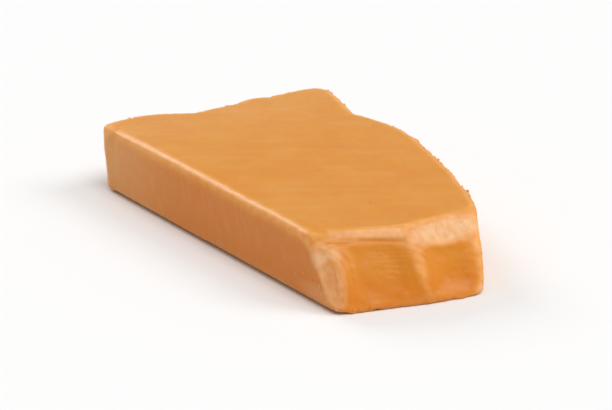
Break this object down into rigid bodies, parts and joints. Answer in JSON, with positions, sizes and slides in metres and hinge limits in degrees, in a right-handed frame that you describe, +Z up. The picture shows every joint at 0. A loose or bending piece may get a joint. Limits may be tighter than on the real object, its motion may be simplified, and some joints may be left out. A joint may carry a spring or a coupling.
{
  "type": "caramel candy",
  "caption": "Flat shard broken from a slab of caramel, with a straight cut side and a sloping broken end.",
  "frame": {"origin": "centre of the bounding rectangle of the flat base, on the surface the shard lies on", "axes": "+X along the straight cut side towards the sloping broken end, -Y out of the cut side, +Z up out of the smooth top"},
  "size_m": [0.0665, 0.0371, 0.01],
  "materials": {
    "caramel": "opaque cream caramel, satin sheen on the top, slightly duller on the cut and broken sides, paler scuffs on the broken rims"
  },
  "bodies": {
    "root": {"caramel_shard": "caramel"}
  },
  "joints": []
}
